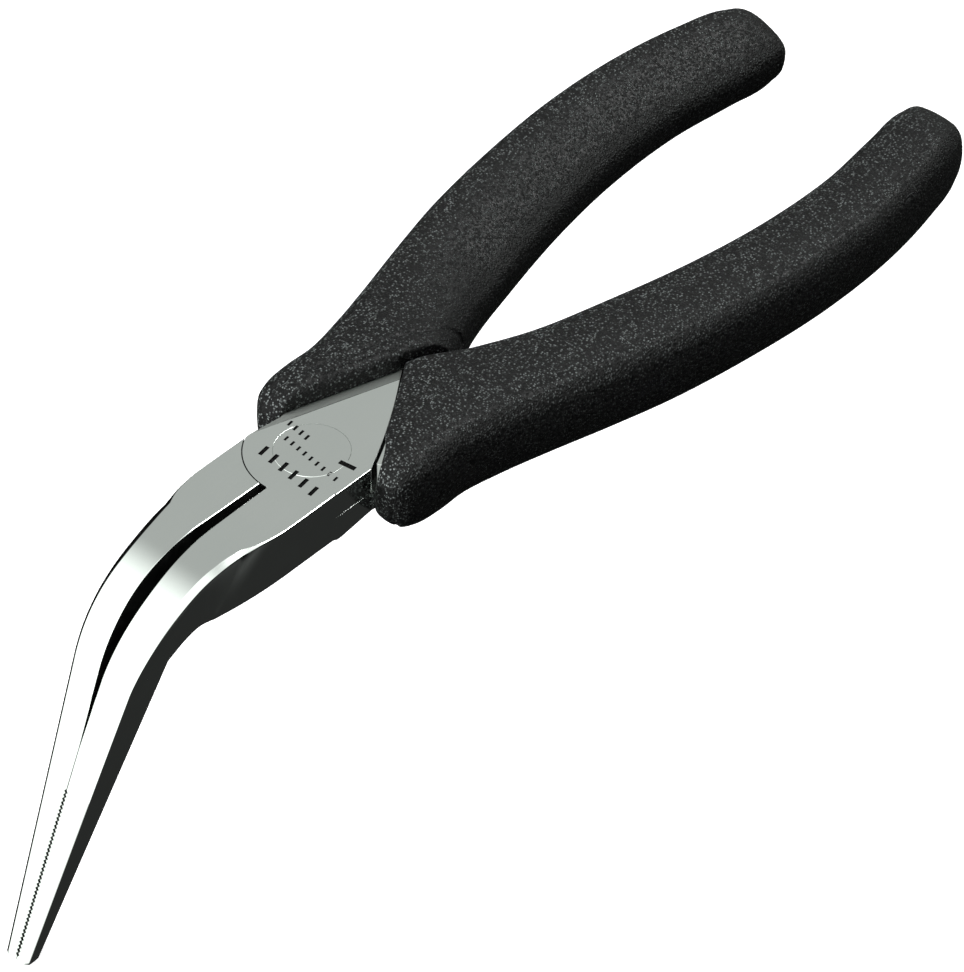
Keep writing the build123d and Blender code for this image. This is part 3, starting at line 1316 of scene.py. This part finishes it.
class PebbleAndPaintedGlintEffect(EffectGroup):
    """Moulded pebble texture: rounded cells about half a millimetre across, with glints painted into the
    colour as bright cell middles.
    """

    name = "PebbleGrainAndPaintedGlint"
    inputs = (
        ("Body", "NodeSocketColor", (0.004, 0.004, 0.0042, 1.0)),
        ("Painted Glint", "NodeSocketColor", (0.30, 0.33, 0.325, 1.0)),
        ("Cells", "NodeSocketFloat", 2800.0),
        ("Low Roughness", "NodeSocketFloat", 0.32),
        ("High Roughness", "NodeSocketFloat", 0.60),
    )
    outputs = SURFACE_OUTPUTS
    painted_glint_reads = (0.45, 1.0)
    dome_reads = (0.10, 0.65)
    uneven_height = 0.6

    def wire(self, kit: NodeKit, given: bpy.types.NodeOutputs, made: bpy.types.NodeInputs) -> None:
        """Lay out the nodes.

        Args:
            kit: Helper on the group's tree.
            given: The group's inputs.
            made: The group's outputs.
        """
        place = kit.add("ShaderNodeTexCoord").outputs["Object"]
        cells = kit.add("ShaderNodeTexVoronoi", feature="F1")
        kit.link(place, cells.inputs["Vector"])
        kit.link(given["Cells"], cells.inputs["Scale"])
        pick = kit.add("ShaderNodeSeparateColor")
        kit.link(cells.outputs["Color"], pick.inputs["Color"])
        # painted glints: random cells are painted bright, most at their middles, in place of highlights on
        # the pebbles
        painted_glint = kit.ramp(pick.outputs["Red"], self.painted_glint_reads)
        dome = kit.ramp(cells.outputs["Distance"], self.dome_reads, (1.0, 0.0))
        painted_glint_mask = kit.add("ShaderNodeMath", operation="MULTIPLY")
        kit.link(painted_glint.outputs["Result"], painted_glint_mask.inputs[0])
        kit.link(dome.outputs["Result"], painted_glint_mask.inputs[1])
        # the colour runs from the body tone to the painted glint tone
        mix = kit.add("ShaderNodeMix", data_type="RGBA")
        kit.link(painted_glint_mask.outputs["Value"], mix.inputs["Factor"])
        kit.link(given["Body"], mix.inputs["A"])
        kit.link(given["Painted Glint"], mix.inputs["B"])
        kit.link(mix.outputs["Result"], made["Color"])
        spread = kit.ramp(pick.outputs["Green"], (0.0, 1.0), soft=False)
        kit.link(given["Low Roughness"], spread.inputs["To Min"])
        kit.link(given["High Roughness"], spread.inputs["To Max"])
        kit.link(spread.outputs["Result"], made["Roughness"])
        height = kit.add("ShaderNodeMath", operation="MULTIPLY_ADD")
        kit.link(pick.outputs["Blue"], height.inputs[0])
        height.inputs[1].default_value = self.uneven_height
        kit.link(dome.outputs["Result"], height.inputs[2])
        kit.link(height.outputs["Value"], made["Height"])


@dataclass(frozen=True)
class Finish:
    """A surface finish: one shared effect on one principled shader."""

    name: str
    effect: type[EffectGroup]
    metallic: float = 1.0
    bump_distance: float = 0.00002
    bump_strength: float = 0.05
    specular: float = 0.5
    values: tuple[tuple[str, object], ...] = ()

    def material(self) -> bpy.types.Material:
        """Make the finish's material.

        Returns:
            The material.
        """
        material = bpy.data.materials.new(self.name)
        material.use_nodes = True
        kit = NodeKit(material.node_tree)
        shader = material.node_tree.nodes["Principled BSDF"]
        shader.inputs["Metallic"].default_value = self.metallic
        shader.inputs["Specular IOR Level"].default_value = self.specular
        group = kit.add("ShaderNodeGroup")
        group.node_tree = self.effect().build()
        for name, value in self.values:
            group.inputs[name].default_value = value
        bump = kit.add("ShaderNodeBump")
        bump.inputs["Distance"].default_value = self.bump_distance
        bump.inputs["Strength"].default_value = self.bump_strength
        kit.link(group.outputs["Color"], shader.inputs["Base Color"])
        kit.link(group.outputs["Roughness"], shader.inputs["Roughness"])
        kit.link(group.outputs["Height"], bump.inputs["Height"])
        kit.link(bump.outputs["Normal"], shader.inputs["Normal"])
        return material


@dataclass(frozen=True)
class Panel:
    """A soft-edged round panel of light, placed by its direction; angles are in degrees."""

    towards: Point3
    core: float
    edge: float
    value: float


@dataclass(frozen=True)
class Lamp:
    """A square soft light facing the tool, with its distance and size in metres.

    A mirrored light shows in polished and sheen surfaces; a scattered one lights matt ones.
    """

    name: str
    towards: Point3
    distance: float
    size: float
    power: float
    mirrored: bool
    scattered: bool


@dataclass
class Studio:
    """The pale floor, the soft lights and the camera.

    The floor is in metres; the camera's target, distance and shifts are in millimetres, with
    its angles in degrees. Neither the floor nor the matt-only lights show in polished steel.
    """

    floor_z: float
    target: Point3 = (0.0, 0.0, 9.6)
    azimuth: float = 132.45
    elevation: float = 42.65
    roll: float = 0.10
    distance: float = 930.2
    right_shift: float = 26.24
    up_shift: float = -5.52
    lens: float = 225.15
    sensor: float = 36.0
    horizon: tuple[float, float] = (-0.60, 0.25)
    dome_values: tuple[float, float] = (0.025, 0.47)
    darkest_sky: float = 0.005
    sky_tint: tuple[float, float, float, float] = (0.955, 1.0, 0.965, 1.0)
    clip: tuple[float, float] = (0.05, 20.0)
    floor_half_size: float = 6.0
    floor_grey: float = 0.93
    floor_roughness: float = 0.9
    floor_glow: float = 0.94
    panels: tuple[Panel, ...] = (
        Panel((0.86, -0.30, 0.20), 34.0, 74.0, 1.25),
        Panel((0.65, 0.55, 0.52), 38.0, 54.0, 0.9),
        Panel((-0.545, 0.34, 0.71), 18.0, 33.0, 1.4),
        Panel((-0.50, 0.85, 0.15), 24.0, 38.0, -0.6),
        Panel((-0.20, -0.95, -0.20), 22.0, 34.0, -0.9),
    )
    lamps: tuple[Lamp, ...] = (
        Lamp("side", (0.20, -0.78, 0.58), 1.8, 0.8, 18.0, False, True),
        Lamp("front", (0.88, -0.35, 0.34), 1.8, 0.6, 46.0, False, True),
        Lamp("sheen", (-0.55, 0.12, 0.81), 1.6, 0.8, 22.0, True, False),
    )

    def camera(self) -> None:
        """Place the camera."""
        a, e = math.radians(self.azimuth), math.radians(self.elevation)
        back = Vector((math.sin(a) * math.cos(e), -math.cos(a) * math.cos(e), math.sin(e)))
        right = Matrix.Rotation(math.radians(self.roll), 3, back) @ Vector((math.cos(a), math.sin(a), 0))
        up = back.cross(right)
        place = Vector(self.target) + back * self.distance + right * self.right_shift + up * self.up_shift
        data = bpy.data.cameras.new("camera")
        data.lens = self.lens
        data.sensor_width = self.sensor
        data.sensor_fit = "HORIZONTAL"
        data.clip_start, data.clip_end = self.clip
        camera = bpy.data.objects.new("camera", data)
        bpy.context.scene.collection.objects.link(camera)
        turn = Matrix((right, up, back)).transposed().to_4x4()
        camera.matrix_world = Matrix.Translation(place * MM) @ turn
        bpy.context.scene.camera = camera

    def floor(self) -> None:
        """Lay the pale floor, which the polished parts don't mirror."""
        bm = bmesh.new()
        bmesh.ops.create_grid(bm, x_segments=2, y_segments=2, size=self.floor_half_size)
        mesh = bpy.data.meshes.new("floor")
        bm.to_mesh(mesh)
        bm.free()
        floor = bpy.data.objects.new("floor", mesh)
        bpy.context.scene.collection.objects.link(floor)
        floor.location.z = self.floor_z
        floor.visible_glossy = False
        floor.visible_diffuse = False
        material = bpy.data.materials.new("floor_paint")
        material.use_nodes = True
        shader = material.node_tree.nodes["Principled BSDF"]
        shader.inputs["Base Color"].default_value = (*[self.floor_grey] * 3, 1.0)
        shader.inputs["Roughness"].default_value = self.floor_roughness
        shader.inputs["Specular IOR Level"].default_value = 0.0
        shader.inputs["Emission Color"].default_value = (1.0, 1.0, 1.0, 1.0)
        shader.inputs["Emission Strength"].default_value = self.floor_glow
        floor.data.materials.append(material)
        floor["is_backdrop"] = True

    def hang(self, lamp: Lamp) -> None:
        """Hang one soft light facing the tool.

        Args:
            lamp: The light's sizes.
        """
        data = bpy.data.lights.new(lamp.name, "AREA")
        data.shape = "SQUARE"
        data.size = lamp.size
        data.energy = lamp.power
        light = bpy.data.objects.new(lamp.name, data)
        bpy.context.scene.collection.objects.link(light)
        way = Vector(lamp.towards).normalized()
        light.location = way * lamp.distance
        light.rotation_mode = "QUATERNION"
        light.rotation_quaternion = way.to_track_quat("Z", "Y")
        light.visible_camera = False
        light.visible_glossy = lamp.mirrored
        light.visible_diffuse = lamp.scattered

    def sky(self) -> None:
        """Surround the tool with soft-edged panels of light, by direction."""
        world = bpy.data.worlds.new("studio")
        bpy.context.scene.world = world
        world.use_nodes = True
        world.cycles_visibility.diffuse = False
        kit = NodeKit(world.node_tree)
        way = kit.add("ShaderNodeTexCoord").outputs["Generated"]
        split = kit.add("ShaderNodeSeparateXYZ")
        kit.link(way, split.inputs["Vector"])
        total = kit.ramp(split.outputs["Z"], self.horizon, self.dome_values).outputs["Result"]
        for panel in self.panels:
            facing = kit.add("ShaderNodeVectorMath", operation="DOT_PRODUCT")
            kit.link(way, facing.inputs[0])
            facing.inputs[1].default_value = Vector(panel.towards).normalized()
            spread = (math.cos(math.radians(panel.edge)), math.cos(math.radians(panel.core)))
            soft = kit.ramp(facing.outputs["Value"], spread, (0.0, panel.value))
            add = kit.add("ShaderNodeMath", operation="ADD")
            kit.link(total, add.inputs[0])
            kit.link(soft.outputs["Result"], add.inputs[1])
            total = add.outputs["Value"]
        tint = kit.add("ShaderNodeMix", data_type="RGBA", blend_type="MULTIPLY")
        tint.inputs["Factor"].default_value = 1.0
        tint.inputs["B"].default_value = self.sky_tint
        darkest = kit.add("ShaderNodeMath", operation="MAXIMUM")
        kit.link(total, darkest.inputs[0])
        darkest.inputs[1].default_value = self.darkest_sky
        kit.link(darkest.outputs["Value"], tint.inputs["A"])
        kit.link(tint.outputs["Result"], world.node_tree.nodes["Background"].inputs["Color"])

    def build(self) -> None:
        """Set the whole studio up."""
        bpy.context.scene.view_settings.view_transform = "Standard"
        self.sky()
        self.floor()
        self.camera()
        for lamp in self.lamps:
            self.hang(lamp)


class Pliers:
    """The whole tool, built from its sub-assemblies and hung on the model's bodies."""

    def __init__(self) -> None:
        """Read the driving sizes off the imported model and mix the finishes."""
        low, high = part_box("pivot_rivet")
        self.thickness = (high[2] - low[2]) / MM
        self.rivet_radius = (high[0] - low[0]) / 2 / MM
        self.steel = Finish("chromed_steel", PolishEffect).material()
        # dark, rougher steel painted as shade in the slit between the jaws and in the working gap
        self.painted_shade = Finish(
            "painted_shade_steel", PolishEffect, bump_strength=0.2,
            values=(("Base Tint", (0.055, 0.058, 0.056, 1.0)), ("Cloud Tint", (0.04, 0.042, 0.041, 1.0)),
                    ("Low Roughness", 0.35), ("High Roughness", 0.55)),
        ).material()
        self.satin = Finish(
            "satin_steel", PolishEffect, metallic=0.55, bump_strength=0.2,
            values=(("Base Tint", (0.34, 0.36, 0.34, 1.0)), ("Cloud Tint", (0.28, 0.30, 0.285, 1.0)),
                    ("Low Roughness", 0.45), ("High Roughness", 0.6)),
        ).material()
        # the marks' own dark print colour, with faint painted glints barely above it
        self.ink = Finish(
            "mark_fill", PebbleAndPaintedGlintEffect, metallic=0.0, bump_distance=0.00001, bump_strength=0.1,
            specular=0.05,
            values=(("Painted Glint", (0.02, 0.02, 0.02, 1.0)), ("Body", (0.004, 0.004, 0.004, 1.0))),
        ).material()
        self.rivet_steel = Finish(
            "rivet_steel", PolishEffect, values=(("Base Tint", (0.84, 0.86, 0.84, 1.0)),),
        ).material()
        # the grip's colour holds painted glints from the pebble cells
        self.rubber = Finish(
            "moulded_grip", PebbleAndPaintedGlintEffect, metallic=0.0, bump_distance=0.00012, bump_strength=0.9,
            specular=0.17,
        ).material()

    def hang(self, solid: Solid, name: str, node: str, body: str, slot: str,
             *materials: bpy.types.Material) -> None:
        """Name a piece, give it its finish and let it stand for its model node.

        Args:
            solid: The piece.
            name: Human name of the piece.
            node: The model node it replaces.
            body: The body it rides on.
            slot: The record's material slot; not used.
            *materials: Its materials, in the order of their index.
        """
        piece = solid.object
        piece.name = name
        piece.data.name = name
        zones = [polygon.material_index for polygon in piece.data.polygons]
        piece.data.materials.clear()
        for material in materials:
            piece.data.materials.append(material)
        piece.data.polygons.foreach_set("material_index", zones)
        piece.data.update()
        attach(piece, body)
        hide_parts(node)
        LOG.info("built %s with %d faces", name, len(piece.data.polygons))

    def build(self) -> None:
        """Build every piece."""
        for side in Side:
            lever = Lever(side, self.thickness, self.rivet_radius)
            forging = lever.build()
            lever.zones(forging.object.data)
            self.hang(forging, f"{side.value}_lever_forging", f"lever_{side.value}",
                      side.value, "polished_steel", self.steel, self.painted_shade, self.ink, self.satin)
            grip = Grip(side, self.thickness)
            self.hang(grip.build(lever), f"{side.value}_moulded_grip", f"grip_{side.value}_lever",
                      side.value, "moulded_grip", self.rubber)
        rivet = Rivet(self.thickness, self.rivet_radius)
        self.hang(rivet.build(), "flush_pivot_rivet", "pivot_rivet", "front", "rivet_steel",
                  self.rivet_steel, self.ink)


def main() -> None:
    """Build the tool and its studio, with the floor at the bottom of the imported model."""
    logging.basicConfig(level=logging.INFO, format="%(message)s", stream=sys.stdout)
    for leftover in list(bpy.data.objects):
        bpy.data.objects.remove(leftover)
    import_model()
    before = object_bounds()
    Studio(before[0].z).build()
    Pliers().build()


if __name__ == "__main__":
    main()
